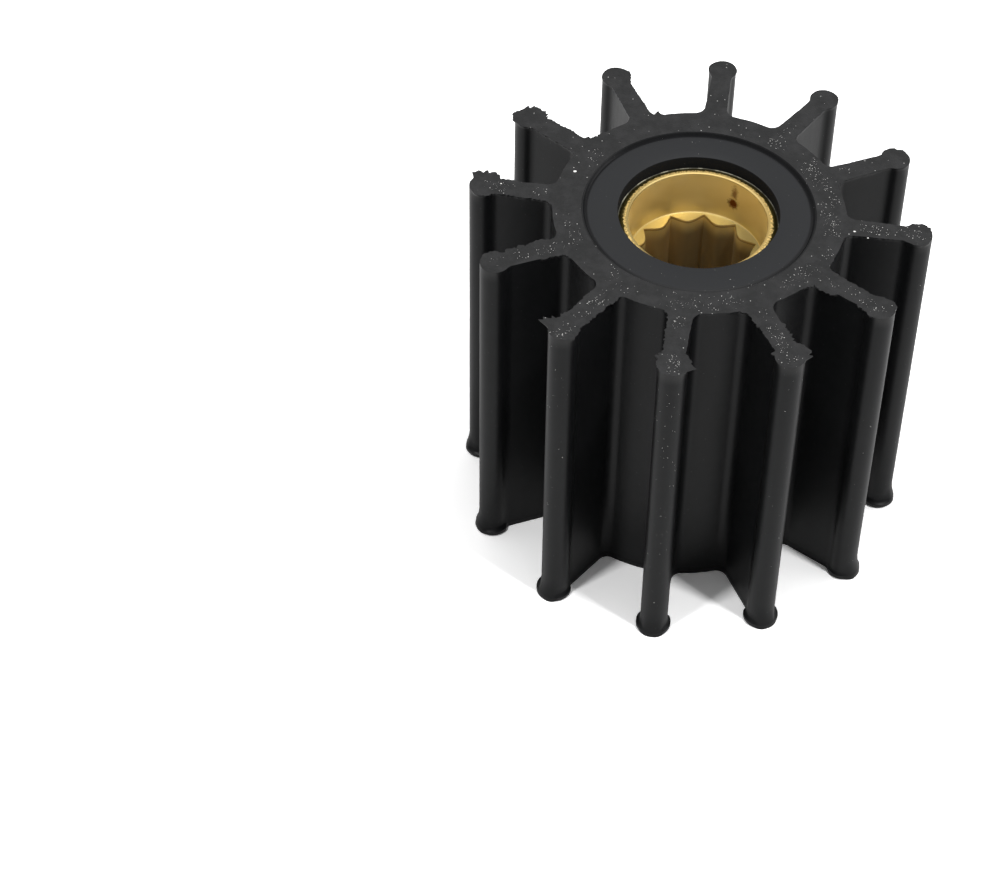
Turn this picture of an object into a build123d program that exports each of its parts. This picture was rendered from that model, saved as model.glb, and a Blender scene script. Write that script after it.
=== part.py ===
from build123d import *
import os
from math import cos, hypot, pi, radians, sin, tan

# Flexible pump impeller: a moulded rubber hub with straight beaded vanes, on a splined brass insert.
# Millimetres. The shaft axis is +Z, the origin is the centre of the lower end face, and one vane
# points along +Y. The counterbored end of the insert is the upper end.

# Whole impeller
vane_count = 12
outer_diameter = 65.0           # across the vane beads, at mid height
overall_height = 54.7

# Rubber hub
hub_diameter = 40.8
recess_diameter = 32.8          # shallow dished face in the middle of each end
recess_depth = 0.35
recess_corner_width = 1.1       # of the hollow corner that runs round the dished face
recess_corner_dip = 0.12        # how far this corner dips below the dished face

# Rubber vanes
bead_diameter = 4.0
web_root_thickness = 3.1        # at the hub
web_neck_thickness = 2.5        # at the bead
root_fillet = 1.6
neck_fillet = 2.0

# Lips that the ends of the mould leave round the rubber, each straight and then sloping back
edge_lip = 0.25                 # round the whole outline, at the upper end
edge_lip_height = 0.5
foot_lip = 0.6                  # round the foot of each bead, at the lower end
foot_lip_height = 0.8
lip_slope = 45.0                # degrees from upright
lip_overlap = 0.3               # how far a slope runs on inside the rubber

# Brass insert
insert_setback = 2.1            # from each end of the rubber to the end of the insert
knurl_diameter = 22.4
knurl_depth = 0.4
knurl_count = 84
knurl_end_length = 0.3          # beyond the knurl each end is turned down and slopes in to a flat rim
knurl_end_step = 0.1            # from the bottom of the knurl's grooves down to the turned end
end_rim_width = 0.3
eye_clearance = 0.1             # the opening in the rubber past the insert is this much wider all round
counterbore_diameter = 19.5
counterbore_depth = 7.4
rim_chamfer = 0.2
spline_count = 12
spline_major_diameter = 18.6    # at the sharp grooves
spline_minor_diameter = 15.6    # at the crowns of the lobes
spline_lead_in = 0.25

# Worked out from the sizes above
hub_radius = hub_diameter / 2
bead_radius = bead_diameter / 2
bead_circle_radius = outer_diameter / 2 - bead_radius
knurl_radius = knurl_diameter / 2
core_radius = knurl_radius - knurl_depth - knurl_end_step
eye_radius = knurl_radius + eye_clearance
insert_bottom = insert_setback
insert_top = overall_height - insert_setback
insert_length = insert_top - insert_bottom
knurl_bottom = insert_bottom + knurl_end_length
knurl_length = insert_length - 2 * knurl_end_length
shoulder_level = insert_top - counterbore_depth
counterbore_radius = counterbore_diameter / 2
end_slope_width = core_radius - counterbore_radius - end_rim_width
spline_major_radius = spline_major_diameter / 2
spline_minor_radius = spline_minor_diameter / 2


def polar(radius, angle):
    """A point at this radius and at this angle, in radians, clockwise from +Y."""
    return (radius * sin(angle), radius * cos(angle))


def web_half_width(radius):
    """Half of the web's thickness at this distance from the axis; its sides taper evenly."""
    share = (radius - hub_radius) / (bead_circle_radius - hub_radius)
    return (web_root_thickness + share * (web_neck_thickness - web_root_thickness)) / 2


def vane_outline():
    """One vane seen along the axis: a tapering web that swells into a round bead."""
    rooted = hub_radius - web_root_thickness
    inner, outer = web_half_width(rooted), web_half_width(bead_circle_radius)
    web = make_face(Polyline((-inner, rooted), (inner, rooted), (outer, bead_circle_radius),
                             (-outer, bead_circle_radius), close=True))
    vane = web + Pos(0, bead_circle_radius) * Circle(bead_radius)
    neck = [corner for corner in vane.vertices() if corner.Y > hub_radius]
    return fillet(neck, neck_fillet)


def rubber_outline():
    """The hub and all the vanes seen along the axis, with filleted roots."""
    star = Circle(hub_radius)
    for place in PolarLocations(0, vane_count):
        star += place * vane_outline()
    near_hub = hub_radius + root_fillet
    roots = [corner for corner in star.vertices() if hypot(corner.X, corner.Y) < near_hub]
    return fillet(roots, root_fillet)


def lip(outline, projection, height):
    """A lip round this outline at the lower end: straight, then sloping back into the rubber."""
    wide = offset(outline, amount=projection)
    straight = extrude(wide, amount=height)
    slope_height = (projection + lip_overlap) / tan(radians(lip_slope))
    return straight + extrude(Pos(0, 0, height) * wide, amount=slope_height, taper=lip_slope)


def end_recess():
    """What is taken out of the lower end face: the dished face and the opening up to the knurl."""
    rim = (recess_diameter / 2, 0)
    hollow = (rim[0] - recess_corner_width / 2, recess_depth + recess_corner_dip)
    inner = (rim[0] - recess_corner_width, recess_depth)
    middle = (0, recess_depth)
    profile = Polyline((0, 0), rim, hollow, inner, middle, close=True)
    dish = revolve(Plane.XZ * make_face(profile), Axis.Z)
    eye = extrude(Circle(eye_radius), amount=knurl_bottom)
    return dish + eye


def knurl():
    """The knurled length of the insert, solid: a straight knurl of V teeth."""
    pitch = 2 * pi / knurl_count
    points = []
    for tooth in range(knurl_count):
        points.append(polar(knurl_radius, tooth * pitch))
        points.append(polar(knurl_radius - knurl_depth, (tooth + 0.5) * pitch))
    return extrude(Pos(0, 0, knurl_bottom) * make_face(Polyline(*points, close=True)), amount=knurl_length)


def splined_section():
    """Section of the drive bore: round lobes that meet in sharp grooves, one groove along +Y."""
    pitch = 2 * pi / spline_count
    lobes = []
    for lobe in range(spline_count):
        groove = polar(spline_major_radius, lobe * pitch)
        crown = polar(spline_minor_radius, (lobe + 0.5) * pitch)
        next_groove = polar(spline_major_radius, (lobe + 1) * pitch)
        lobes.append(ThreePointArc(groove, crown, next_groove))
    return make_face(Curve() + lobes)


def upside_down(tool):
    """The same tool at the upper end of the impeller."""
    return mirror(tool, about=Plane.XY.offset(overall_height / 2))


def make_rubber_body():
    outline = rubber_outline()
    body = extrude(outline, amount=overall_height)
    body += upside_down(lip(outline, edge_lip, edge_lip_height))
    for place in PolarLocations(bead_circle_radius, vane_count, start_angle=90):
        body += place * lip(Circle(bead_radius), foot_lip, foot_lip_height)
    recess = end_recess()
    body -= recess
    body -= upside_down(recess)
    return body - knurl()


def make_brass_insert():
    core = Pos(0, 0, insert_bottom + insert_length / 2) * Cylinder(core_radius, insert_length)
    core = chamfer(core.edges().filter_by(GeomType.CIRCLE), knurl_end_length, end_slope_width)
    body = core + knurl()
    body -= Pos(0, 0, insert_bottom) * extrude(splined_section(), amount=insert_length)
    body -= Pos(0, 0, shoulder_level) * extrude(Circle(counterbore_radius), amount=counterbore_depth)
    rim = Cone(counterbore_radius, counterbore_radius + rim_chamfer, rim_chamfer)
    body -= Pos(0, 0, insert_top - rim_chamfer / 2) * rim
    lead_in = Cone(spline_minor_radius, spline_minor_radius + spline_lead_in, spline_lead_in)
    body -= Pos(0, 0, shoulder_level - spline_lead_in / 2) * lead_in
    body -= Pos(0, 0, insert_bottom + spline_lead_in / 2) * Rot(180, 0, 0) * lead_in
    return body


parts = {
    "rubber_body": make_rubber_body(),
    "brass_insert": make_brass_insert(),
}
os.makedirs("parts", exist_ok=True)
for name, shape in parts.items():
    export_step(shape, f"parts/{name}.step")
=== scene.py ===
import math
import random

import bmesh
import bpy
from mathutils import Matrix, Vector, noise


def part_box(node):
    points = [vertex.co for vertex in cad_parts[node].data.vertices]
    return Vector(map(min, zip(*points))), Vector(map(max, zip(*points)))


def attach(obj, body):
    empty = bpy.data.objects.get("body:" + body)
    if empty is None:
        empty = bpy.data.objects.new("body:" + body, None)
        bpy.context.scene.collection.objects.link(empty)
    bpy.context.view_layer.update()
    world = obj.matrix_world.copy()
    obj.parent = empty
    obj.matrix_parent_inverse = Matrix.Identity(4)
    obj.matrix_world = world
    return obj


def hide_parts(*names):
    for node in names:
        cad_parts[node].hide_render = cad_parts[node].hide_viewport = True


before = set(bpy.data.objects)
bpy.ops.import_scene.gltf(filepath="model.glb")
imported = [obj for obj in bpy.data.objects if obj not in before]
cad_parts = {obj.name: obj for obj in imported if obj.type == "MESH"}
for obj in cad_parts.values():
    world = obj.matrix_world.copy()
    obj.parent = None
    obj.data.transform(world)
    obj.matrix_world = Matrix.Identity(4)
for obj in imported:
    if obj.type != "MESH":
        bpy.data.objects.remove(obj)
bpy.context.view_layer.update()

# Lengths are in metres. The shaft axis is +Z, one vane points along +Y, and the vanes are counted
# from 0 there, clockwise as seen from above. A vane's lead side is the one on its clockwise side.
MM = 0.001
FINE = 1e-6                     # two points closer than this are one
SMOOTH_ANGLE = math.radians(32)     # faces that meet more sharply than this keep their edge

# The rubber moulding, as large as its CAD solid
rubber_low, rubber_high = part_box("rubber_body")
insert_low, insert_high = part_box("brass_insert")
DUST_ROOM = 0.05 * MM           # the upper face lies this far down, so that its dust stays in the box
TOP = rubber_high.z - DUST_ROOM
VANES = 12
PITCH = 2 * math.pi / VANES
BEAD_RADIUS = 2.0 * MM
FOOT_LIP = 0.6 * MM             # round the foot of each bead
WEB_LIP = 0.08 * MM             # round the rest of the outline at the lower end
EDGE_LIP = 0.25 * MM            # round the whole outline at the upper end
BEAD_CIRCLE = rubber_high.y - BEAD_RADIUS - FOOT_LIP
HUB_RADIUS = 20.4 * MM
WEB_ROOT = 3.1 * MM             # thickness at the hub
WEB_NECK = 2.5 * MM             # thickness at the bead
ROOT_FILLET = 1.6 * MM
NECK_FILLET = 2.0 * MM
RECESS_RADIUS = 16.4 * MM
RECESS_DEPTH = 0.35 * MM
RECESS_CORNER = 0.8 * MM        # width of the hollow corner round the dished face
CORNER_DIP = 0.12 * MM          # how far this corner dips below the dished face
CORNER_STEPS = 8
EYE_RADIUS = 11.3 * MM
OUTLINE_FACET = 0.22 * MM

# The brass insert, as long as its CAD solid
INSERT_TOP = insert_high.z
INSERT_BOTTOM = insert_low.z
KNURL_RADIUS = 11.2 * MM
KNURL_DEPTH = 0.4 * MM
KNURL_TEETH = 84
KNURL_END = 0.35 * MM           # from each end of the insert to the knurl
PILOT_RADIUS = 9.75 * MM
SHOULDER = INSERT_TOP - 7.4 * MM
LOBES = 12
GROOVE_RADIUS = 9.3 * MM
CROWN_RADIUS = 7.8 * MM
RING_POINTS = 2 * KNURL_TEETH   # round every ring of the bore and of the insert
RING_TURN = math.radians(1.5)   # the first of them, and the first groove, are this far past +Y
STAIN = (4.27 * MM, 8.77 * MM, 48.45 * MM)      # a rusty drop on the pilot wall
STAIN_RUN = (4.36 * MM, 8.72 * MM, 50.4 * MM)   # and the run that it left above


# ---------------------------------------------------------------- modelling by hand

def deselect_everything():
    if bpy.context.object and bpy.context.object.mode != "OBJECT":
        bpy.ops.object.mode_set(mode="OBJECT")
    bpy.ops.object.select_all(action="DESELECT")


def begin(name, add_primitive, **size):
    """Adds a primitive at its place, names it and leaves it in edit mode, all selected."""
    deselect_everything()
    add_primitive(**size)
    piece = bpy.context.object
    piece.name = name
    piece.data.name = name
    bpy.ops.object.transform_apply(location=True, rotation=True, scale=True)
    bpy.ops.object.mode_set(mode="EDIT")
    bpy.ops.mesh.select_mode(type="VERT")
    bpy.ops.mesh.select_all(action="SELECT")
    return piece


def pick(piece, wanted):
    """Selects the points whose place passes the test, with the edges and faces between them."""
    bpy.ops.mesh.select_all(action="DESELECT")
    mesh = bmesh.from_edit_mesh(piece.data)
    for point in mesh.verts:
        point.select_set(wanted(point.co))
    mesh.select_flush(True)
    bmesh.update_edit_mesh(piece.data)


def extrude(x=0.0, y=0.0, z=0.0):
    bpy.ops.mesh.extrude_region_move(TRANSFORM_OT_translate={"value": (x, y, z)})


def spin_about(centre, angle, facets):
    """Sweeps the selected point about an upright axis; a positive angle is clockwise from above."""
    bpy.ops.mesh.spin(steps=facets, angle=angle, center=(centre.x, centre.y, 0.0), axis=(0.0, 0.0, 1.0))


def clockwise(vector):
    """Angle of a direction, clockwise from +Y."""
    return math.atan2(vector.x, vector.y)


def add_ring(piece, radius_at, height):
    """Extrudes the selected ring and lays the new one out on a radius that may change with the angle."""
    extrude()
    mesh = bmesh.from_edit_mesh(piece.data)
    for point in mesh.verts:
        if point.select:
            angle = clockwise(point.co)
            radius = radius_at(angle)
            point.co = (radius * math.sin(angle), radius * math.cos(angle), height)
    bmesh.update_edit_mesh(piece.data)


def round_ring(radius):
    return lambda angle: radius


def ease(value, start, end):
    """0 before start and 1 past end, with a smooth passage between them."""
    share = min(max((value - start) / (end - start), 0.0), 1.0)
    return share * share * (3 - 2 * share)


def read_profile(profile, place):
    """The value at a place on a line of (place, value) corners."""
    for (start, first), (end, last) in zip(profile, profile[1:]):
        if place <= end:
            return first + (last - first) * max(place - start, 0.0) / (end - start)
    return profile[-1][1]


def finish_piece(piece, material, node=None):
    """Leaves edit mode, points the faces outwards and hands the piece to the frame."""
    bpy.ops.mesh.select_all(action="SELECT")
    bpy.ops.mesh.remove_doubles(threshold=FINE)
    bpy.ops.mesh.normals_make_consistent(inside=False)
    bpy.ops.object.mode_set(mode="OBJECT")
    bpy.ops.object.shade_smooth_by_angle(angle=SMOOTH_ANGLE)
    piece.data.materials.clear()
    piece.data.materials.append(material)
    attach(piece, "root")
    if node:
        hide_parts(node)
    return piece


# ---------------------------------------------------------------- outline of the hub and vanes

def web_side():
    """The lead side of the vane along +Y: its outward normal and its distance from the axis."""
    taper = (WEB_ROOT - WEB_NECK) / 2 / (BEAD_CIRCLE - HUB_RADIUS)
    normal = Vector((1.0, taper)).normalized()
    return normal, normal.dot(Vector((WEB_ROOT / 2, HUB_RADIUS)))


def fillet_centre(circle_centre, circle_radius, fillet, outer):
    """Centre of the fillet that joins a circle to the web's side, beyond the circle or short of it."""
    normal, distance = web_side()
    along = Vector((-normal.y, normal.x))
    foot = normal * (distance + fillet)
    reach = circle_centre - foot
    middle = reach.dot(along)
    half = math.sqrt((circle_radius + fillet) ** 2 - reach.length_squared + middle ** 2)
    return foot + along * (middle + half if outer else middle - half)


def facets_of(length):
    return max(3, round(length / OUTLINE_FACET))


def trace_half_vane():
    """Draws the outline from the tip of a vane's bead to the middle of the gap on its lead side."""
    normal, _ = web_side()
    axis = Vector((0.0, 0.0))
    bead = Vector((0.0, BEAD_CIRCLE))
    neck = fillet_centre(bead, BEAD_RADIUS, NECK_FILLET, outer=False)
    root = fillet_centre(axis, HUB_RADIUS, ROOT_FILLET, outer=True)
    bead_turn = clockwise(neck - bead)
    neck_turn = (bead - neck).angle(-normal)
    root_turn = (axis - root).angle(-normal)
    hub_turn = PITCH / 2 - clockwise(root)
    spin_about(bead, bead_turn, facets_of(bead_turn * BEAD_RADIUS))
    spin_about(neck, -neck_turn, facets_of(neck_turn * NECK_FILLET))
    side = (root - normal * ROOT_FILLET) - (neck - normal * NECK_FILLET)
    steps = facets_of(side.length)
    for _ in range(steps):
        extrude(side.x / steps, side.y / steps)
    spin_about(root, -root_turn, facets_of(root_turn * ROOT_FILLET))
    spin_about(axis, hub_turn, facets_of(hub_turn * HUB_RADIUS))


def draw_star():
    """The outline of hub and vanes at the lower end: half a vane, mirrored, then copied round."""
    star = begin("rubber_moulding", bpy.ops.mesh.primitive_plane_add, size=MM,
                 location=(0.0, BEAD_CIRCLE + BEAD_RADIUS, 0.0))
    bpy.ops.mesh.merge(type="CENTER")
    trace_half_vane()
    bpy.ops.mesh.select_all(action="SELECT")
    bpy.ops.mesh.duplicate()
    bpy.ops.transform.resize(value=(-1.0, 1.0, 1.0), center_override=(0.0, 0.0, 0.0))
    bpy.ops.mesh.select_all(action="SELECT")
    bpy.ops.mesh.remove_doubles(threshold=FINE)
    for _ in range(VANES - 1):
        bpy.ops.mesh.duplicate()
        bpy.ops.transform.rotate(value=PITCH, orient_axis="Z", center_override=(0.0, 0.0, 0.0))
    bpy.ops.mesh.select_all(action="SELECT")
    bpy.ops.mesh.remove_doubles(threshold=FINE)
    return star


def place_key(place):
    """Tells the points of the outline apart by their place from above, in tenths of a micron."""
    return round(place.x * 1e7), round(place.y * 1e7)


def outward_directions(star):
    """The outward direction at each point of the outline, by its place from above."""
    mesh = bmesh.from_edit_mesh(star.data)
    mesh.verts.ensure_lookup_table()
    first = mesh.verts[0]
    loop = [first]
    edge = first.link_edges[0]
    point = edge.other_vert(first)
    while point is not first:
        loop.append(point)
        edge = next(other for other in point.link_edges if other is not edge)
        point = edge.other_vert(point)
    area = sum(a.co.x * b.co.y - b.co.x * a.co.y for a, b in zip(loop, loop[1:] + loop[:1]))
    turn = 1.0 if area > 0 else -1.0
    directions = {}
    for index, point in enumerate(loop):
        tangent = (loop[(index + 1) % len(loop)].co - loop[index - 1].co).normalized() * turn
        directions[place_key(point.co)] = Vector((tangent.y, -tangent.x, 0.0))
    return directions


# ---------------------------------------------------------------- lips and torn flash

# How far the lips stand out, as a share of their width: at the lower end by height, at the sides of the
# beads and along the webs (foot) or at the outermost part of a bead (flare), and at the upper end by
# depth (edge). Heights and depths are in mm.
FOOT_PROFILE = ((0.0, 0.55), (0.12, 0.85), (0.3, 1.0), (0.8, 1.0), (0.95, 0.62), (1.15, 0.18), (1.4, 0.0))
FLARE_PROFILE = ((0.0, 0.9), (0.12, 1.0), (0.8, 0.85), (1.4, 0.55), (2.4, 0.2), (3.4, 0.0))
EDGE_PROFILE = ((0.0, 1.0), (0.08, 1.0), (0.2, 0.8), (0.35, 0.42), (0.55, 0.14), (0.8, 0.0))
SIDE_LEVELS = (2.4, 3.4, 5.0, 12.0, 20.0, 28.0, 36.0, 44.0, 50.0, 52.4)     # of the points in between

# Each of these is a passage from one distance to another
BEAD_SIDE = (0.4 * MM, 1.7 * MM)        # across a foot, from its middle to a side that may be uneven
BEAD_FRONT = (0.9 * MM, 1.75 * MM)      # across a foot, from its outermost part to its sides
WEB_TO_BEAD = (28.4 * MM, 29.6 * MM)    # along a vane, from the web's lip to the bead's
WORN_TIP = (BEAD_CIRCLE + 0.4 * MM, BEAD_CIRCLE + 1.6 * MM)     # the upper lip is worn off beyond it

# Flash that the upper end of the mould left, torn off unevenly:
# vane, side, start and end along the vane, reach beyond the outline, all in mm
LEAD = 1
TRAIL = -1
FLASH = (
    (0, LEAD, 20.0, 33.0, 0.05),
    (1, LEAD, 20.0, 33.0, 0.1), (1, TRAIL, 20.0, 33.0, 0.1),
    (2, TRAIL, 20.0, 29.0, 0.15), (2, TRAIL, 29.0, 32.2, 0.3), (2, LEAD, 20.0, 32.0, 0.1),
    (3, TRAIL, 20.0, 29.0, 0.2), (3, TRAIL, 29.0, 32.2, 0.35), (3, LEAD, 20.0, 32.0, 0.15),
    (4, LEAD, 20.2, 24.3, 0.8), (4, LEAD, 27.8, 30.2, 0.4), (4, TRAIL, 20.0, 32.0, 0.25),
    (5, TRAIL, 24.3, 27.6, 0.7), (5, TRAIL, 28.0, 31.4, 1.0), (5, LEAD, 20.3, 24.0, 0.5),
    (5, LEAD, 29.0, 29.4, 0.8), (5, LEAD, 24.0, 28.5, 0.2),
    (6, TRAIL, 30.2, 30.9, 1.1), (6, TRAIL, 28.4, 31.4, 0.6), (6, LEAD, 20.5, 31.0, 0.25),
    (6, LEAD, 21.3, 21.8, 0.6), (6, LEAD, 24.0, 27.9, 0.5), (6, LEAD, 27.9, 29.7, 0.8),
    (6, TRAIL, 20.5, 28.0, 0.15),
    (7, TRAIL, 20.8, 28.5, 0.6), (7, TRAIL, 28.0, 31.0, 0.3), (7, LEAD, 29.7, 31.1, 1.5),
    (7, LEAD, 27.4, 29.8, 0.7), (7, LEAD, 22.0, 28.0, 0.3),
    (8, TRAIL, 20.3, 24.2, 0.35), (8, LEAD, 21.8, 28.2, 0.6), (8, LEAD, 29.0, 31.5, 0.3),
    (9, LEAD, 28.6, 31.9, 1.0), (9, LEAD, 26.0, 28.8, 0.4), (9, TRAIL, 20.5, 31.5, 0.3),
    (10, LEAD, 28.6, 29.9, 1.0), (10, LEAD, 29.9, 32.0, 0.8), (10, LEAD, 23.0, 28.6, 0.35),
    (10, LEAD, 20.0, 21.6, 0.6), (10, TRAIL, 31.4, 32.8, 0.4), (10, TRAIL, 20.5, 31.0, 0.2),
    (11, LEAD, 20.25, 20.55, 1.2), (11, LEAD, 28.0, 31.0, 0.3), (11, TRAIL, 20.5, 31.0, 0.15),
    (11, LEAD, 22.6, 28.0, 0.15),
)
# Where the lip at the side of a bead's foot isn't as wide as the rest: vane and side, width in mm
UNEVEN_FEET = {(4, LEAD): 0.3, (5, LEAD): 0.5, (6, TRAIL): 0.5, (7, LEAD): 0.7, (7, TRAIL): 0.45}
FLASH_END = 0.25                # a stretch of flash dies away over this length, in mm
FLASH_LIMIT = 33.05             # and none of it reaches further from the shaft axis than this, in mm
FLASH_SEED = 11
COARSE_TEARS = 900              # how quickly its edge changes, per metre
FINE_TEARS = 3100
EDGE_WAVES = 700


def on_vane(place):
    """Which vane a point belongs to, how far along it the point lies and how far to its lead side."""
    vane = round(clockwise(place) / PITCH)
    angle = vane * PITCH
    along = place.x * math.sin(angle) + place.y * math.cos(angle)
    across = place.x * math.cos(angle) - place.y * math.sin(angle)
    return vane % VANES, along, across


def flash_reach(place, chance):
    """How far the torn flash stands out at a point of the outline."""
    vane, along, across = on_vane(place)
    along /= MM
    reach = 0.0
    for its_vane, side, start, end, most in FLASH:
        if its_vane == vane and side * across > 0:
            fade = min(FLASH_END, (end - start) / 2)
            share = ease(along, start - fade, start + fade / 2) - ease(along, end - fade / 2, end + fade)
            reach = max(reach, most * max(share, 0.0))
    coarse = noise.noise(place * COARSE_TEARS)
    fine = noise.noise(place * FINE_TEARS)
    ragged = min(max(0.78 + 0.55 * coarse + 0.6 * fine + chance.uniform(-0.3, 0.3), 0.05), 1.2)
    return reach * ragged * MM


def shape_side_walls(moulding, directions):
    """Swells the lips at both ends of the walls and pulls the flash out at the upper edge."""
    chance = random.Random(FLASH_SEED)
    fringe = {}
    for key in sorted(directions):
        place = Vector((key[0], key[1], 0.0)) * 1e-7
        fringe[key] = flash_reach(place, chance)
    mesh = bmesh.from_edit_mesh(moulding.data)
    for point in mesh.verts:
        key = place_key(point.co)
        if key not in directions:
            continue
        vane, along, across = on_vane(point.co)
        side = LEAD if across > 0 else TRAIL
        height = point.co.z / MM
        depth = (TOP - point.co.z) / MM
        bead_lip = FOOT_LIP
        if (vane, side) in UNEVEN_FEET:
            bead_lip += (UNEVEN_FEET[vane, side] * MM - FOOT_LIP) * ease(abs(across), *BEAD_SIDE)
        foot_lip = WEB_LIP + (bead_lip - WEB_LIP) * ease(along, *WEB_TO_BEAD)
        wave = noise.noise(point.co.xyz * EDGE_WAVES + Vector((9.0, 0.0, 0.0)))
        edge = 0.5 * EDGE_LIP * (0.7 + 0.6 * wave)
        outermost = 1 - ease(abs(across), *BEAD_FRONT)
        shift = foot_lip * (1 - outermost) * read_profile(FOOT_PROFILE, height)
        shift += foot_lip * outermost * read_profile(FLARE_PROFILE, height)
        worn = ease(along, *WORN_TIP)
        shift += max(edge * (1 - worn), fringe[key]) * read_profile(EDGE_PROFILE, depth)
        moved = point.co + directions[key] * shift
        limit = FLASH_LIMIT * MM
        if moved.xy.length > limit:
            reach = moved.xy.length
            moved = Vector((moved.x * limit / reach, moved.y * limit / reach, moved.z))
        point.co = moved
    bmesh.update_edit_mesh(moulding.data)


# ---------------------------------------------------------------- the rubber moulding

def knurled(angle, share=1.0):
    """Radius of the knurl at an angle: a tooth and a gap turn by turn round the ring."""
    index = round((angle - RING_TURN) / (2 * math.pi) * RING_POINTS)
    return KNURL_RADIUS if index % 2 == 0 else KNURL_RADIUS - KNURL_DEPTH * share


def burred(angle):
    """Radius of the knurl where it starts: the gaps are nearly closed, unevenly, by burrs."""
    spot = Vector((math.sin(angle), math.cos(angle), 0.0)) * 9
    return knurled(angle, 0.45 + 0.5 * noise.noise(spot))


def dished_end(end, inward):
    """Rings from the outer edge of one dished end face to the end of the insert."""
    floor = end + inward * RECESS_DEPTH
    knurl_start = (INSERT_TOP if inward < 0 else INSERT_BOTTOM) + inward * KNURL_END
    edge = 0.08 * MM
    rings = [
        (RECESS_RADIUS - edge * 0.3, end + inward * edge * 0.3),
        (RECESS_RADIUS - edge, end + inward * edge),
    ]
    for step in range(1, CORNER_STEPS + 1):
        share = step / CORNER_STEPS
        dip = CORNER_DIP * (ease(share, 0.0, 0.5) - ease(share, 0.5, 1.0))
        drop = RECESS_DEPTH * ease(share, 0.0, 0.55) + dip
        rings.append((RECESS_RADIUS - edge - RECESS_CORNER * share, end + inward * max(drop, edge)))
    rings += [
        (EYE_RADIUS + 0.1 * MM, floor),
        (EYE_RADIUS + 0.03 * MM, floor + inward * 0.03 * MM),
        (EYE_RADIUS, floor + inward * 0.1 * MM),
        (EYE_RADIUS, knurl_start),
    ]
    return rings


def make_rubber_moulding(material):
    star = draw_star()
    directions = outward_directions(star)
    levels = [height * MM for height, _ in FOOT_PROFILE[1:]]
    levels += [height * MM for height in SIDE_LEVELS]
    levels += [TOP - depth * MM for depth, _ in reversed(EDGE_PROFILE)]
    level = 0.0
    for height in levels:
        extrude(z=height - level)
        level = height
    bpy.ops.mesh.primitive_circle_add(vertices=RING_POINTS, radius=RECESS_RADIUS,
                                      location=(0.0, 0.0, TOP), rotation=(0.0, 0.0, -RING_TURN))
    pick(star, lambda place: place.z > TOP - FINE and place.xy.length < RECESS_RADIUS + FINE)
    for radius, height in dished_end(TOP, -1):
        add_ring(star, round_ring(radius), height)
    add_ring(star, burred, INSERT_TOP - KNURL_END)
    add_ring(star, knurled, INSERT_TOP - 2 * KNURL_END)
    add_ring(star, knurled, INSERT_BOTTOM + 2 * KNURL_END)
    add_ring(star, burred, INSERT_BOTTOM + KNURL_END)
    for radius, height in reversed(dished_end(0.0, 1)):
        add_ring(star, round_ring(radius), height)
    add_ring(star, round_ring(RECESS_RADIUS), 0.0)
    shape_side_walls(star, directions)
    for end in (TOP, 0.0):
        pick(star, lambda place: abs(place.z - end) < FINE and place.xy.length > RECESS_RADIUS - FINE)
        bpy.ops.mesh.fill(use_beauty=True)
    return finish_piece(star, material, "rubber_body")


# ---------------------------------------------------------------- the brass insert

def lobed(angle, relief=0.0, limit=PILOT_RADIUS):
    """Radius of the splined bore at an angle: broad round lobes that meet in V grooves."""
    rise = abs(math.sin((angle - RING_TURN) * LOBES / 2))
    radius = GROOVE_RADIUS - (GROOVE_RADIUS - CROWN_RADIUS) * rise
    return min(radius + relief, limit)


def make_brass_insert(material):
    rim = 0.2 * MM
    lead_in = 0.25 * MM
    relief = 0.1 * MM
    wall = PILOT_RADIUS
    corner = 0.24 * MM
    flat_edge = wall + rim + 0.08 * MM
    insert = begin("turned_insert", bpy.ops.mesh.primitive_circle_add, vertices=RING_POINTS,
                   radius=flat_edge, location=(0.0, 0.0, INSERT_BOTTOM), rotation=(0.0, 0.0, -RING_TURN))
    add_ring(insert, burred, INSERT_BOTTOM + KNURL_END)
    add_ring(insert, knurled, INSERT_BOTTOM + 2 * KNURL_END)
    add_ring(insert, knurled, INSERT_TOP - 2 * KNURL_END)
    add_ring(insert, burred, INSERT_TOP - KNURL_END)
    add_ring(insert, lambda angle: (burred(angle) + flat_edge) / 2, INSERT_TOP - 0.4 * KNURL_END)
    add_ring(insert, round_ring(flat_edge), INSERT_TOP)
    add_ring(insert, round_ring(wall + rim), INSERT_TOP)
    add_ring(insert, round_ring(wall + rim * 0.3), INSERT_TOP - rim * 0.4)
    add_ring(insert, round_ring(wall), INSERT_TOP - rim * 1.2)
    add_ring(insert, round_ring(wall), SHOULDER + corner)
    add_ring(insert, round_ring(wall - corner * 0.13), SHOULDER + corner * 0.5)
    add_ring(insert, round_ring(wall - corner * 0.5), SHOULDER + corner * 0.13)
    add_ring(insert, round_ring(wall - corner), SHOULDER)
    add_ring(insert, lambda angle: lobed(angle, relief, wall - 1.3 * corner), SHOULDER)
    add_ring(insert, lambda angle: lobed(angle, relief * 0.75, wall - 1.4 * corner), SHOULDER - lead_in * 0.1)
    add_ring(insert, lambda angle: lobed(angle, relief * 0.1), SHOULDER - lead_in * 0.8)
    add_ring(insert, lobed, SHOULDER - lead_in)
    add_ring(insert, lobed, INSERT_BOTTOM + lead_in)
    add_ring(insert, lambda angle: lobed(angle, relief), INSERT_BOTTOM)
    add_ring(insert, round_ring(flat_edge), INSERT_BOTTOM)
    return finish_piece(insert, material, "brass_insert")


# ---------------------------------------------------------------- materials

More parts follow.
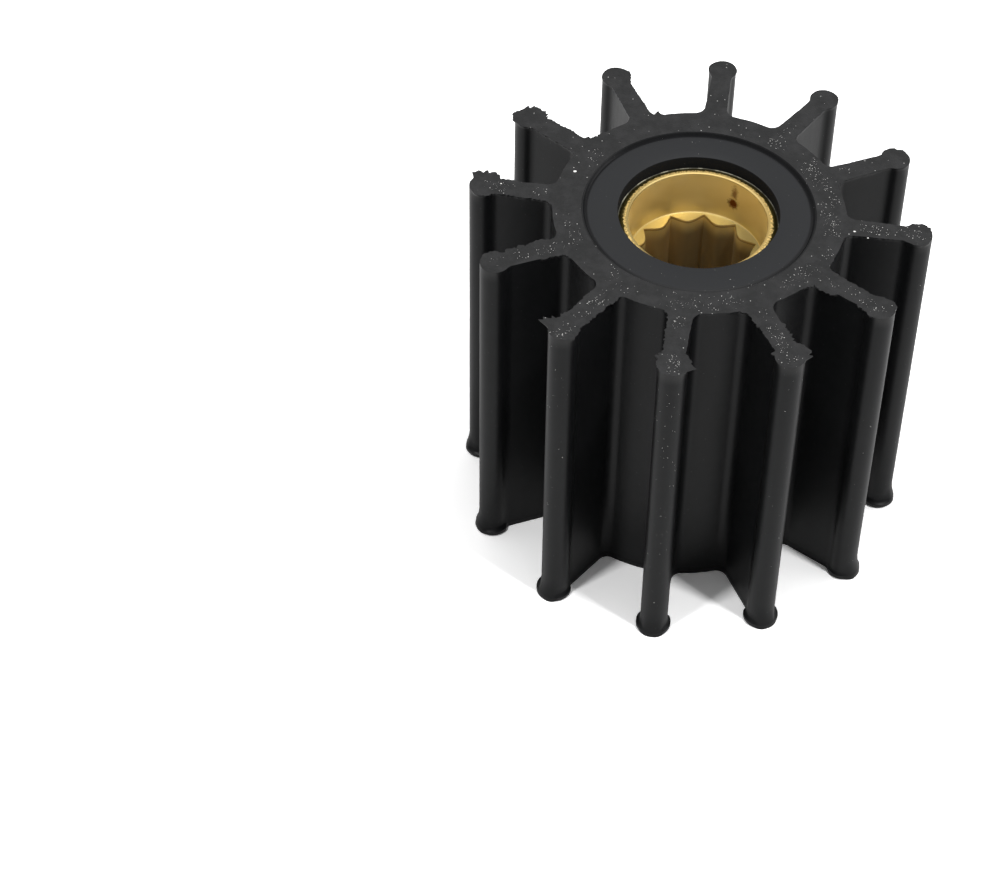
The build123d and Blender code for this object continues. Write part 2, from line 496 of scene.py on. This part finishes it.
class Finish:
    """A node material put together in order, from the pattern's coordinates to the surface."""

    def __init__(self, name):
        self.material = bpy.data.materials.new(name)
        self.material.use_nodes = True
        self.nodes = self.material.node_tree.nodes
        self.links = self.material.node_tree.links
        self.nodes.clear()
        self.output = self.nodes.new("ShaderNodeOutputMaterial")
        self.place = self.nodes.new("ShaderNodeTexCoord").outputs["Object"]

    def add(self, kind, inputs=None, **settings):
        """Adds a node, sets it up and joins or fills its inputs."""
        node = self.nodes.new(kind)
        for setting, value in settings.items():
            setattr(node, setting, value)
        for socket, value in (inputs or {}).items():
            if isinstance(value, bpy.types.NodeSocket):
                self.links.new(value, node.inputs[socket])
            else:
                node.inputs[socket].default_value = value
        return node

    def math(self, operation, first, second=0.0, third=0.0):
        values = {0: first, 1: second, 2: third}
        return self.add("ShaderNodeMath", values, operation=operation).outputs[0]

    def product(self, first, second):
        return self.math("MULTIPLY", first, second)

    def length(self, vector):
        return self.add("ShaderNodeVectorMath", {0: vector}, operation="LENGTH").outputs["Value"]

    def axis_distance(self):
        """How far a point lies from the shaft axis."""
        return self.length(self.stretch((1.0, 1.0, 0.0)))

    def blend(self, share, first, second):
        node = self.add("ShaderNodeMix", data_type="RGBA")
        for socket, value in (("Factor_Float", share), ("A_Color", first), ("B_Color", second)):
            target = next(entry for entry in node.inputs if entry.identifier == socket)
            if isinstance(value, bpy.types.NodeSocket):
                self.links.new(value, target)
            else:
                target.default_value = value
        return next(entry for entry in node.outputs if entry.identifier == "Result_Color")

    def fade(self, value, start, end, low=0.0, high=1.0):
        """Goes smoothly from low at start to high at end."""
        ends = {"Value": value, "From Min": start, "From Max": end, "To Min": low, "To Max": high}
        return self.add("ShaderNodeMapRange", ends, interpolation_type="SMOOTHSTEP").outputs["Result"]

    def stretch(self, scale):
        return self.add("ShaderNodeMapping", {"Vector": self.place, "Scale": scale}).outputs["Vector"]

    def grain(self, scale, detail=2.0, roughness=0.5, place=None):
        node = self.add("ShaderNodeTexNoise", {"Vector": place or self.place, "Scale": scale,
                                               "Detail": detail, "Roughness": roughness})
        return node.outputs["Fac"]

    def near(self, centre, reach, soft):
        """1 within an uneven blot of this reach round a point, fading to 0 at its edge."""
        away = self.add("ShaderNodeVectorMath", {0: self.place, 1: centre}, operation="SUBTRACT").outputs[0]
        share = self.add("ShaderNodeVectorMath", {0: away, 1: reach}, operation="DIVIDE").outputs[0]
        uneven = self.math("MULTIPLY_ADD", self.grain(2200.0, 2.0), 0.9, -0.45)
        return self.fade(self.math("ADD", self.length(share), uneven), 1.0, soft)

    def bump(self, height, distance, strength=1.0, below=None):
        inputs = {"Height": height, "Distance": distance, "Strength": strength}
        if below:
            inputs["Normal"] = below
        return self.add("ShaderNodeBump", inputs).outputs["Normal"]

    def surface(self, inputs):
        shader = self.add("ShaderNodeBsdfPrincipled", inputs)
        self.links.new(shader.outputs["BSDF"], self.output.inputs["Surface"])
        return self.material


def grey(value):
    return (value, value, value, 1.0)


# Colours of the rubber; two in a row are the ends of a blend
WALL_TONES = ((0.0042, 0.0044, 0.0048, 1.0), (0.008, 0.0083, 0.009, 1.0))
GROUND_TONES = ((0.012, 0.0121, 0.0123, 1.0), (0.027, 0.0273, 0.0278, 1.0))
PALE_GROUND = (0.029, 0.029, 0.0297, 1.0)
DISH_TONE = (0.0182, 0.019, 0.0205, 1.0)
SCUFF_TONE = grey(0.026)
SPECK_TONE = (0.55, 0.55, 0.53, 1.0)
# pale seam round the insert, partly a painted highlight
SEAM_AND_HIGHLIGHT_TONE = (0.5, 0.48, 0.37, 1.0)
BURR_TONE = (0.04, 0.033, 0.012, 1.0)

# Colours of the brass
WALL_BRASS = ((0.95, 0.76, 0.33, 1.0), (1.0, 0.84, 0.44, 1.0))
BORE_BRASS = ((0.62, 0.46, 0.22, 1.0), (0.42, 0.33, 0.18, 1.0))
LEDGE_BRASS = ((0.52, 0.41, 0.17, 1.0), (0.37, 0.31, 0.15, 1.0))
CHAMFER_BRASS = ((0.42, 0.32, 0.13, 1.0), (0.57, 0.42, 0.16, 1.0))
SLOPE_BRASS = ((0.5, 0.37, 0.14, 1.0), (0.9, 0.69, 0.29, 1.0))
PAINTED_GROOVE_LIGHT = (0.95, 0.82, 0.55, 1.0)
PAINTED_SHADE_UNDER_LEDGE = (0.3, 0.16, 0.05, 1.0)
TARNISH = (0.42, 0.31, 0.12, 1.0)
RUBBER_FILM = (0.07, 0.056, 0.016, 1.0)
RUST = (0.2, 0.06, 0.008, 1.0)

DUST_TONES = ((0.7, 0.69, 0.66, 1.0), (0.93, 0.92, 0.89, 1.0))


def black_rubber():
    """Moulded satin walls and dusty, ground end faces, with painted shade in the hollow corner round the
    dished face and a painted highlight on the seam round the insert.
    """
    finish = Finish("black_rubber")
    true_normal = finish.add("ShaderNodeNewGeometry").outputs["True Normal"]
    facing = finish.add("ShaderNodeSeparateXYZ", {0: true_normal}).outputs["Z"]
    split = finish.add("ShaderNodeSeparateXYZ", {0: finish.place})
    sideways = split.outputs["X"]
    across = split.outputs["Y"]
    height = split.outputs["Z"]
    radius = finish.axis_distance()
    level = finish.fade(finish.math("ABSOLUTE", facing), 0.75, 0.95)
    outer = finish.fade(finish.math("ABSOLUTE", finish.math("SUBTRACT", height, TOP / 2)),
                        TOP / 2 - 0.35 * MM, TOP / 2 - 0.15 * MM)
    ground = finish.product(level, outer)

    # moulded walls and ground faces
    mottle = finish.grain(420.0, 4.0, 0.6)
    scuffs = finish.grain(2600.0, 3.0, 0.65)
    wall = finish.blend(mottle, *WALL_TONES)
    cut = finish.blend(scuffs, *GROUND_TONES)
    cut = finish.blend(finish.fade(finish.grain(520.0, 5.0, 0.65), 0.35, 0.7), cut, PALE_GROUND)
    base = finish.blend(ground, wall, cut)

    # the dished face, and painted shade in its hollow corner, heaviest on the far side
    dish = finish.product(finish.fade(radius, RECESS_RADIUS - 0.6 * MM, RECESS_RADIUS - 1.0 * MM), level)
    past_eye = finish.fade(radius, EYE_RADIUS, EYE_RADIUS + 0.1 * MM)
    base = finish.blend(finish.product(dish, past_eye), base, DISH_TONE)
    hollow = finish.product(finish.fade(radius, RECESS_RADIUS - 0.95 * MM, RECESS_RADIUS - 0.6 * MM),
                            finish.fade(radius, RECESS_RADIUS + 0.05 * MM, RECESS_RADIUS - 0.1 * MM))
    far_side = finish.product(finish.fade(across, -3.0 * MM, 5.0 * MM),
                              finish.fade(sideways, -15.5 * MM, -11.0 * MM, 0.15))
    # painted shade: the hollow corner takes the dark wall tone, most of it on the far side
    painted_corner_shade = finish.math("MULTIPLY_ADD", far_side, 0.6, 0.35)
    base = finish.blend(finish.product(hollow, painted_corner_shade), base, wall)

    # scuffs at the tops of the beads, and specks of dust
    scuffed = finish.product(finish.fade(radius, BEAD_CIRCLE, BEAD_CIRCLE + 0.8 * MM),
                             finish.fade(height, TOP - 2.2 * MM, TOP - 0.2 * MM))
    upright = finish.math("SUBTRACT", 0.9, level)
    base = finish.blend(finish.product(scuffed, upright), base, SCUFF_TONE)
    specks = finish.add("ShaderNodeTexVoronoi", {"Vector": finish.place, "Scale": 1900.0})
    kind = finish.add("ShaderNodeSeparateXYZ", {0: specks.outputs["Color"]})
    rare = finish.fade(kind.outputs["X"], 0.88, 0.92)
    spot = finish.fade(specks.outputs["Distance"], 0.16, 0.1)
    settled = finish.math("MULTIPLY_ADD", ground, 0.9, 0.06)
    base = finish.blend(finish.product(finish.product(rare, spot), settled), base, SPECK_TONE)

    # the pale seam round the insert, partly a painted highlight that is brightest on the left, and the dark
    # burrs in the gaps of the knurl
    knurl_top = INSERT_TOP - KNURL_END
    seam_and_highlight = finish.product(finish.fade(radius, KNURL_RADIUS - 0.06 * MM, KNURL_RADIUS - 0.01 * MM),
                          finish.fade(radius, EYE_RADIUS + 0.02 * MM, EYE_RADIUS + 0.01 * MM))
    seam_and_highlight = finish.product(seam_and_highlight, finish.fade(height, knurl_top + 0.1 * MM, knurl_top + 0.03 * MM))
    patchy = finish.fade(finish.grain(480.0, 3.0, 0.6), 0.42, 0.6, 0.2, 1.0)
    # painted highlight: the seam is paler on the left than on the right
    sunlit = finish.product(finish.fade(sideways, 8.0 * MM, -2.0 * MM, 0.45, 0.9), patchy)
    base = finish.blend(finish.product(seam_and_highlight, sunlit), base, SEAM_AND_HIGHLIGHT_TONE)
    knurl_floor = KNURL_RADIUS - KNURL_DEPTH
    burrs = finish.product(finish.fade(radius, KNURL_RADIUS, KNURL_RADIUS - 0.04 * MM),
                           finish.fade(radius, knurl_floor - 0.1 * MM, knurl_floor))
    burrs = finish.product(burrs, finish.fade(height, INSERT_TOP + 0.1 * MM, INSERT_TOP))
    base = finish.blend(burrs, base, BURR_TONE)

    # satin walls, dull ground faces, and matt where hardly any light comes
    drag = finish.grain(260.0, 3.0, 0.6, finish.stretch((1.0, 1.0, 0.08)))
    pores = finish.grain(5200.0, 2.0, 0.6)
    smooth = finish.math("MULTIPLY_ADD", drag, 0.16, 0.3)
    dull = finish.math("MULTIPLY_ADD", scuffs, 0.25, 0.62)
    unground = finish.math("SUBTRACT", 1.0, ground)
    rough = finish.math("ADD", finish.product(unground, smooth), finish.product(ground, dull))
    eye_wall = finish.fade(radius, EYE_RADIUS + 0.12 * MM, EYE_RADIUS + 0.04 * MM)
    matt = finish.math("MAXIMUM", finish.product(hollow, far_side), eye_wall)
    rough = finish.math("MAXIMUM", rough, matt)
    depth = finish.math("MULTIPLY_ADD", ground, 0.92, 0.08)
    relief = finish.product(depth, finish.grain(3400.0, 4.0, 0.7))
    normal = finish.bump(relief, 0.00012, 0.7)
    normal = finish.bump(drag, 0.00005, 0.35, normal)
    normal = finish.bump(pores, 0.00001, 0.5, normal)
    return finish.surface({"Base Color": base, "Roughness": rough, "Normal": normal,
                           "Specular IOR Level": 0.2})


def turned_brass():
    """Lathe-turned brass, browner in the splined bore, with one rusty run on the pilot wall, and with painted
    shade and painted highlights on its bore, ledge, grooves and chamfer.
    """
    finish = Finish("turned_brass")
    split = finish.add("ShaderNodeSeparateXYZ", {0: finish.place})
    sideways = split.outputs["X"]
    height = split.outputs["Z"]
    radius = finish.axis_distance()
    rings = finish.grain(900.0, 2.0, 0.5, finish.stretch((0.04, 0.04, 3.0)))

    # the pilot wall, and the splined bore below the shoulder
    blotch = finish.grain(260.0, 4.0, 0.6)
    bright = finish.blend(blotch, *WALL_BRASS)
    deep = finish.fade(height, SHOULDER - 3.0 * MM, SHOULDER - 0.1 * MM)
    # painted shade: the bore's brass changes tone from left to right as the light falls
    shaded = finish.fade(sideways, -7.0 * MM, -1.5 * MM)
    bore_tone_and_shade = finish.blend(shaded, *BORE_BRASS)
    colour = finish.blend(deep, bore_tone_and_shade, bright)

    # the ledge with painted shade that deepens to the right, a line of painted shade under it, and painted
    # light that lifts the grooves
    off_shoulder = finish.math("ABSOLUTE", finish.math("SUBTRACT", height, SHOULDER))
    ledge = finish.fade(off_shoulder, 0.1 * MM, 0.04 * MM)
    painted_ledge_shade = finish.fade(sideways, -4.0 * MM, 4.0 * MM)
    # painted shade: the ledge is darker on the right
    colour = finish.blend(ledge, colour, finish.blend(painted_ledge_shade, *LEDGE_BRASS))
    # painted shade: a dark line just under the ledge
    shade_under_ledge = finish.product(finish.fade(height, SHOULDER - 0.5 * MM, SHOULDER - 0.35 * MM),
                           finish.fade(height, SHOULDER - 0.02 * MM, SHOULDER - 0.08 * MM))
    colour = finish.blend(finish.product(shade_under_ledge, 0.6), colour, PAINTED_SHADE_UNDER_LEDGE)
    # painted light: the V grooves of the bore are made paler so that they look less dark
    grooves = finish.product(finish.fade(radius, CROWN_RADIUS + 0.4 * MM, GROOVE_RADIUS),
                             finish.fade(height, SHOULDER - 0.4 * MM, SHOULDER - 0.8 * MM))
    colour = finish.blend(finish.product(grooves, 0.15), colour, PAINTED_GROOVE_LIGHT)

    # tarnish low on the wall
    on_wall = finish.fade(radius, PILOT_RADIUS - 0.2 * MM, PILOT_RADIUS - 0.08 * MM)
    low_down = finish.fade(height, SHOULDER + 2.4 * MM, SHOULDER + 0.2 * MM)
    tarnished = finish.product(on_wall, low_down)
    colour = finish.blend(finish.product(tarnished, 0.25), colour, TARNISH)

    # the chamfer, duller than the wall, with painted shade towards the front and the left and a painted
    # highlight at the back; the nicked slope outside it; and the film of rubber that creeps over its rim
    chamfer = finish.fade(height, INSERT_TOP - 0.28 * MM, INSERT_TOP - 0.2 * MM)
    # painted light: the chamfer keeps more of the bright wall colour at the back and less at the front, and
    # is darker on the left
    painted_light_on_chamfer = finish.fade(split.outputs["Y"], 7.5 * MM, 2.0 * MM, 0.5, 0.97)
    dull = finish.blend(shaded, *CHAMFER_BRASS)
    colour = finish.blend(finish.product(chamfer, painted_light_on_chamfer), colour, dull)
    slope = finish.fade(radius, PILOT_RADIUS + 0.25 * MM, PILOT_RADIUS + 0.5 * MM)
    nicks = finish.fade(finish.grain(3100.0, 3.0, 0.7), 0.44, 0.56)
    colour = finish.blend(slope, colour, finish.blend(nicks, *SLOPE_BRASS))
    jagged = finish.math("MULTIPLY_ADD", finish.grain(2400.0, 3.0, 0.65), 0.9 * MM, -0.45 * MM)
    filmed = finish.fade(finish.math("ADD", radius, jagged),
                         PILOT_RADIUS + 0.68 * MM, PILOT_RADIUS + 0.82 * MM)
    colour = finish.blend(filmed, colour, RUBBER_FILM)

    # the rusty drop and its run
    drop = finish.near(STAIN, (1.1 * MM, 1.1 * MM, 1.25 * MM), 0.3)
    run = finish.product(finish.near(STAIN_RUN, (0.75 * MM, 0.75 * MM, 2.1 * MM), 0.1), 0.75)
    colour = finish.blend(finish.math("MAXIMUM", drop, run), colour, RUST)

    turned = finish.math("MULTIPLY_ADD", blotch, 0.2, 0.42)
    rough = finish.math("MAXIMUM", turned, finish.product(chamfer, 0.72))
    normal = finish.bump(rings, 0.00003, 0.5)
    normal = finish.bump(finish.grain(4200.0, 3.0, 0.6), 0.00002, 0.4, normal)
    return finish.surface({"Base Color": colour, "Metallic": 1.0, "Roughness": rough, "Normal": normal})


def pale_dust():
    """Crumbs of rubber dust, paler and duller than the moulding."""
    finish = Finish("pale_dust")
    tone = finish.blend(finish.grain(9000.0, 2.0), *DUST_TONES)
    normal = finish.bump(finish.grain(16000.0, 2.0), 0.00001, 0.4)
    return finish.surface({"Base Color": tone, "Roughness": 0.85, "Normal": normal})


# ---------------------------------------------------------------- dust left by trimming

# Where patches of crumbs lie on the vanes: vane, start and end along the vane in mm, patches
DUSTY_VANES = (
    (9, 21.5, 30.5, 5), (8, 21.5, 31.0, 6), (7, 21.5, 31.2, 9), (6, 21.5, 24.0, 2), (6, 29.5, 31.3, 5),
    (5, 21.5, 31.2, 9), (4, 20.0, 31.0, 6), (3, 21.0, 31.2, 9), (2, 21.0, 24.0, 1), (1, 21.0, 22.0, 1),
)
# and on the flat ring of the hub: first and last azimuth in degrees, patches
DUSTY_ARCS = (
    (25, 35, 3), (45, 65, 9), (65, 100, 14), (105, 135, 9), (150, 215, 13), (235, 252, 3), (282, 300, 2),
)
DUSTY_RING = (17.6, 19.3)       # between these distances from the shaft axis, in mm
# Crumbs down the outside of the front beads: vane, crumbs
DUSTY_BEADS = ((6, 55), (5, 18), (7, 22), (4, 10), (3, 8))
PATCH_KINDS = 9
PATCH_CRUMBS = 7
PATCH_LENGTH = 2.6 * MM
PATCH_WIDTH = 1.8 * MM
LONE_CRUMBS = 130
LONE_REACH = 33.0 * MM          # how far from the shaft axis they lie
LONE_DEPTH = 0.7 * MM           # and how far below the upper face at most
DUST_SEED = 5
# Radii of the crumbs in mm. Small ones are commoner, the more so the higher the bias.
SMALLEST_CRUMB = 0.022
PATCH_LARGEST = 0.072
LONE_LARGEST = 0.06
SMALL_BIAS = 2.5
# The largest crumbs: across, along and radius, in mm
LARGE_CRUMBS = ((-18.19, 4.96, 0.34), (21.75, -0.76, 0.21), (23.68, -1.76, 0.12), (-28.08, 0.68, 0.13))


def crumb_size(chance, most):
    """A radius between the smallest crumb's and this one, in mm, as a length."""
    return (SMALLEST_CRUMB + (most - SMALLEST_CRUMB) * chance.random() ** SMALL_BIAS) * MM


def add_crumb(chance, place, normal, radius):
    turn = Vector((0.0, 0.0, 1.0)).rotation_difference(normal).to_euler()
    bpy.ops.mesh.primitive_ico_sphere_add(subdivisions=1, radius=radius, location=place, rotation=turn,
                                          scale=(1.0, chance.uniform(0.6, 1.0), chance.uniform(0.45, 0.8)))


def on_face(azimuth, reach):
    """A point of the upper end face."""
    return Vector((reach * math.sin(azimuth), reach * math.cos(azimuth), TOP))


def dusty_patches(chance):
    """The middle and the azimuth of every patch of crumbs, along a vane or round the ring."""
    patches = []
    for vane, start, end, count in DUSTY_VANES:
        for _ in range(count):
            turn = vane * PITCH + chance.choice((0.0, math.pi))
            patches.append((on_face(vane * PITCH, chance.uniform(start, end) * MM), turn))
    for first, last, count in DUSTY_ARCS:
        for _ in range(count):
            azimuth = math.radians(chance.uniform(first, last))
            turn = azimuth + chance.choice((-0.5, 0.5)) * math.pi
            patches.append((on_face(azimuth, chance.uniform(*DUSTY_RING) * MM), turn))
    chance.shuffle(patches)
    return patches


def carry_patch(start, target):
    """Takes the selected crumbs from one middle and azimuth to another."""
    bpy.ops.transform.rotate(value=target[1] - start[1], orient_axis="Z", center_override=start[0])
    bpy.ops.transform.translate(value=target[0] - start[0])


def add_patches(crumbs, chance):
    """Builds each kind of patch over the bore, lays copies of it out and takes it to the last place."""
    patches = dusty_patches(chance)
    over_bore = (Vector((0.0, 0.0, TOP)), 0.0)
    for kind in range(PATCH_KINDS):
        for _ in range(PATCH_CRUMBS):
            radius = crumb_size(chance, PATCH_LARGEST)
            place = Vector((chance.uniform(-0.5, 0.5) * PATCH_WIDTH, chance.uniform(-0.5, 0.5) * PATCH_LENGTH,
                            TOP + min(0.2 * radius, DUST_ROOM - 0.8 * radius)))
            add_crumb(chance, place, Vector((0.0, 0.0, 1.0)), radius)
        pick(crumbs, lambda place: place.xy.length < PATCH_LENGTH)
        start = over_bore
        for target in patches[kind:-PATCH_KINDS:PATCH_KINDS]:
            bpy.ops.mesh.duplicate()
            carry_patch(start, target)
            start = target
        pick(crumbs, lambda place: place.xy.length < PATCH_LENGTH)
        carry_patch(over_bore, patches[kind - PATCH_KINDS])


def scatter_dust(moulding, material):
    """Small crumbs of trimmings, in patches on the end face and singly there and down the front beads."""
    chance = random.Random(DUST_SEED)
    crumbs = begin("trimming_dust", bpy.ops.mesh.primitive_circle_add, vertices=3, radius=MM)
    bpy.ops.mesh.delete(type="VERT")
    for x, y, radius in LARGE_CRUMBS:
        place = Vector((x * MM, y * MM, TOP + DUST_ROOM - 0.41 * radius * MM))
        bpy.ops.mesh.primitive_ico_sphere_add(subdivisions=2, radius=radius * MM, location=place,
                                              scale=(1.0, 0.75, 0.4))
    add_patches(crumbs, chance)
    for _ in range(LONE_CRUMBS):
        above = on_face(chance.uniform(0.0, 2 * math.pi), LONE_REACH * math.sqrt(chance.random()))
        above.z += 2 * MM
        hit, place, normal, _ = moulding.ray_cast(above, Vector((0.0, 0.0, -1.0)))
        radius = crumb_size(chance, LONE_LARGEST)
        if hit and place.z > TOP - LONE_DEPTH:
            place.z = min(place.z, TOP + DUST_ROOM - 0.8 * radius)
            add_crumb(chance, place, normal, radius)
    for vane, count in DUSTY_BEADS:
        outward = Vector((math.sin(vane * PITCH), math.cos(vane * PITCH), 0.0))
        aside = Vector((outward.y, -outward.x, 0.0))
        for _ in range(count):
            start = outward * 40 * MM + aside * chance.uniform(-1.8, 1.8) * MM
            start.z = TOP * chance.random() ** 0.6
            hit, place, normal, _ = moulding.ray_cast(start, -outward)
            if hit:
                add_crumb(chance, place, normal, crumb_size(chance, LONE_LARGEST))
    return finish_piece(crumbs, material)


# ---------------------------------------------------------------- floor, light and camera

FLOOR_SEEN = 1.4                # how pale the floor looks
FLOOR_MIRRORED = 0.72           # and how pale it looks in reflections
FLOOR_SHADED = 0.35             # from this distance on, in metres, the floor turns plain white
FLOOR_SIZE = 6.0
DOME = 0.3                      # how bright the surroundings are for everything but the camera
LIT_POINT = Vector((0.0, 0.0, 0.03))    # where every lamp points
# Lamps: name, place, width and height in metres, watts
SOFT_BOXES = (
    ("top_light", (0.0, 0.2, 1.3), 0.9, 0.8, 4.0),
    ("back_light", (0.0, 1.1, 1.15), 1.6, 1.0, 2.0),
    ("right_light", (1.25, 0.35, 0.8), 1.2, 1.0, 7.0),
    ("left_light", (-1.25, 0.35, 0.8), 1.2, 1.0, 2.0),
    ("right_lamp", (0.477, -0.259, 1.344), 0.1, 0.1, 9.5),
    ("left_lamp", (-0.363, -0.404, 1.344), 0.1, 0.1, 7.0),
)


def studio_floor():
    """A pale floor that stays white away from the object's shadow."""
    finish = Finish("studio_floor")
    path = finish.add("ShaderNodeLightPath").outputs
    mirrored = finish.math("MAXIMUM", path["Is Glossy Ray"], path["Is Transmission Ray"])
    tint = finish.blend(finish.grain(14.0, 3.0), grey(0.79), grey(0.81))
    tint = finish.blend(mirrored, tint, grey(FLOOR_MIRRORED))
    tint = finish.blend(path["Is Camera Ray"], tint, grey(FLOOR_SEEN))
    shader = finish.add("ShaderNodeBsdfDiffuse", {"Color": tint})
    seen = finish.math("MAXIMUM", path["Is Camera Ray"], mirrored)
    beyond = finish.fade(finish.length(finish.place), FLOOR_SHADED, 2 * FLOOR_SHADED)
    plain = finish.blend(mirrored, grey(1.0), grey(FLOOR_MIRRORED))
    white = finish.add("ShaderNodeEmission", {"Color": plain})
    share = finish.product(seen, beyond)
    both = finish.add("ShaderNodeMixShader", {0: share, 1: shader.outputs[0], 2: white.outputs[0]})
    finish.links.new(both.outputs["Shader"], finish.output.inputs["Surface"])
    return finish.material


def make_studio():
    floor = begin("floor", bpy.ops.mesh.primitive_plane_add, size=FLOOR_SIZE, location=(0.0, 0.0, 0.0))
    bpy.ops.object.mode_set(mode="OBJECT")
    floor.data.materials.append(studio_floor())
    world = bpy.data.worlds.new("studio")
    bpy.context.scene.world = world
    world.use_nodes = True
    nodes = world.node_tree.nodes
    links = world.node_tree.links
    nodes.clear()
    output = nodes.new("ShaderNodeOutputWorld")
    dome = nodes.new("ShaderNodeBackground")
    path = nodes.new("ShaderNodeLightPath")
    strength = nodes.new("ShaderNodeMapRange")
    strength.inputs["To Min"].default_value = DOME
    strength.inputs["To Max"].default_value = 1.0
    dome.inputs["Color"].default_value = grey(1.0)
    links.new(path.outputs["Is Camera Ray"], strength.inputs["Value"])
    links.new(strength.outputs["Result"], dome.inputs["Strength"])
    links.new(dome.outputs["Background"], output.inputs["Surface"])
    for name, place, width, height, watts in SOFT_BOXES:
        deselect_everything()
        bpy.ops.object.light_add(type="AREA", location=place)
        lamp = bpy.context.object
        lamp.name = name
        lamp.data.shape = "RECTANGLE"
        lamp.data.size = width
        lamp.data.size_y = height
        lamp.data.energy = watts
        lamp.rotation_euler = (LIT_POINT - lamp.location).to_track_quat("-Z", "Y").to_euler()


def make_camera():
    """A long lens, above and in front, turned a little round the shaft axis."""
    focal_length = 100.608
    sensor_width = 36.0
    elevation = math.radians(47.5424)
    roll = math.radians(0.5476)
    azimuth = math.radians(8.898)
    distance = 429.94 * MM
    aside = -27.391 * MM
    rise = 5.2023 * MM
    back = Vector((0.0, -math.cos(elevation), math.sin(elevation)))
    right = Vector((1.0, 0.0, 0.0))
    up = back.cross(right)
    rolled_right = right * math.cos(roll) + up * math.sin(roll)
    rolled_up = up * math.cos(roll) - right * math.sin(roll)
    place = back * distance + rolled_right * aside + rolled_up * rise
    turn = Matrix.Rotation(azimuth, 4, "Z")
    axes = Matrix((rolled_right, rolled_up, back)).transposed().to_4x4()
    lens = bpy.data.cameras.new("camera")
    lens.lens = focal_length
    lens.sensor_width = sensor_width
    camera = bpy.data.objects.new("camera", lens)
    bpy.context.scene.collection.objects.link(camera)
    camera.matrix_world = turn @ Matrix.Translation(place) @ axes
    bpy.context.scene.camera = camera


# ---------------------------------------------------------------- the scene

rubber = black_rubber()
moulding = make_rubber_moulding(rubber)
make_brass_insert(turned_brass())
scatter_dust(moulding, pale_dust())
make_studio()
make_camera()
bpy.context.scene.view_settings.view_transform = "Standard"
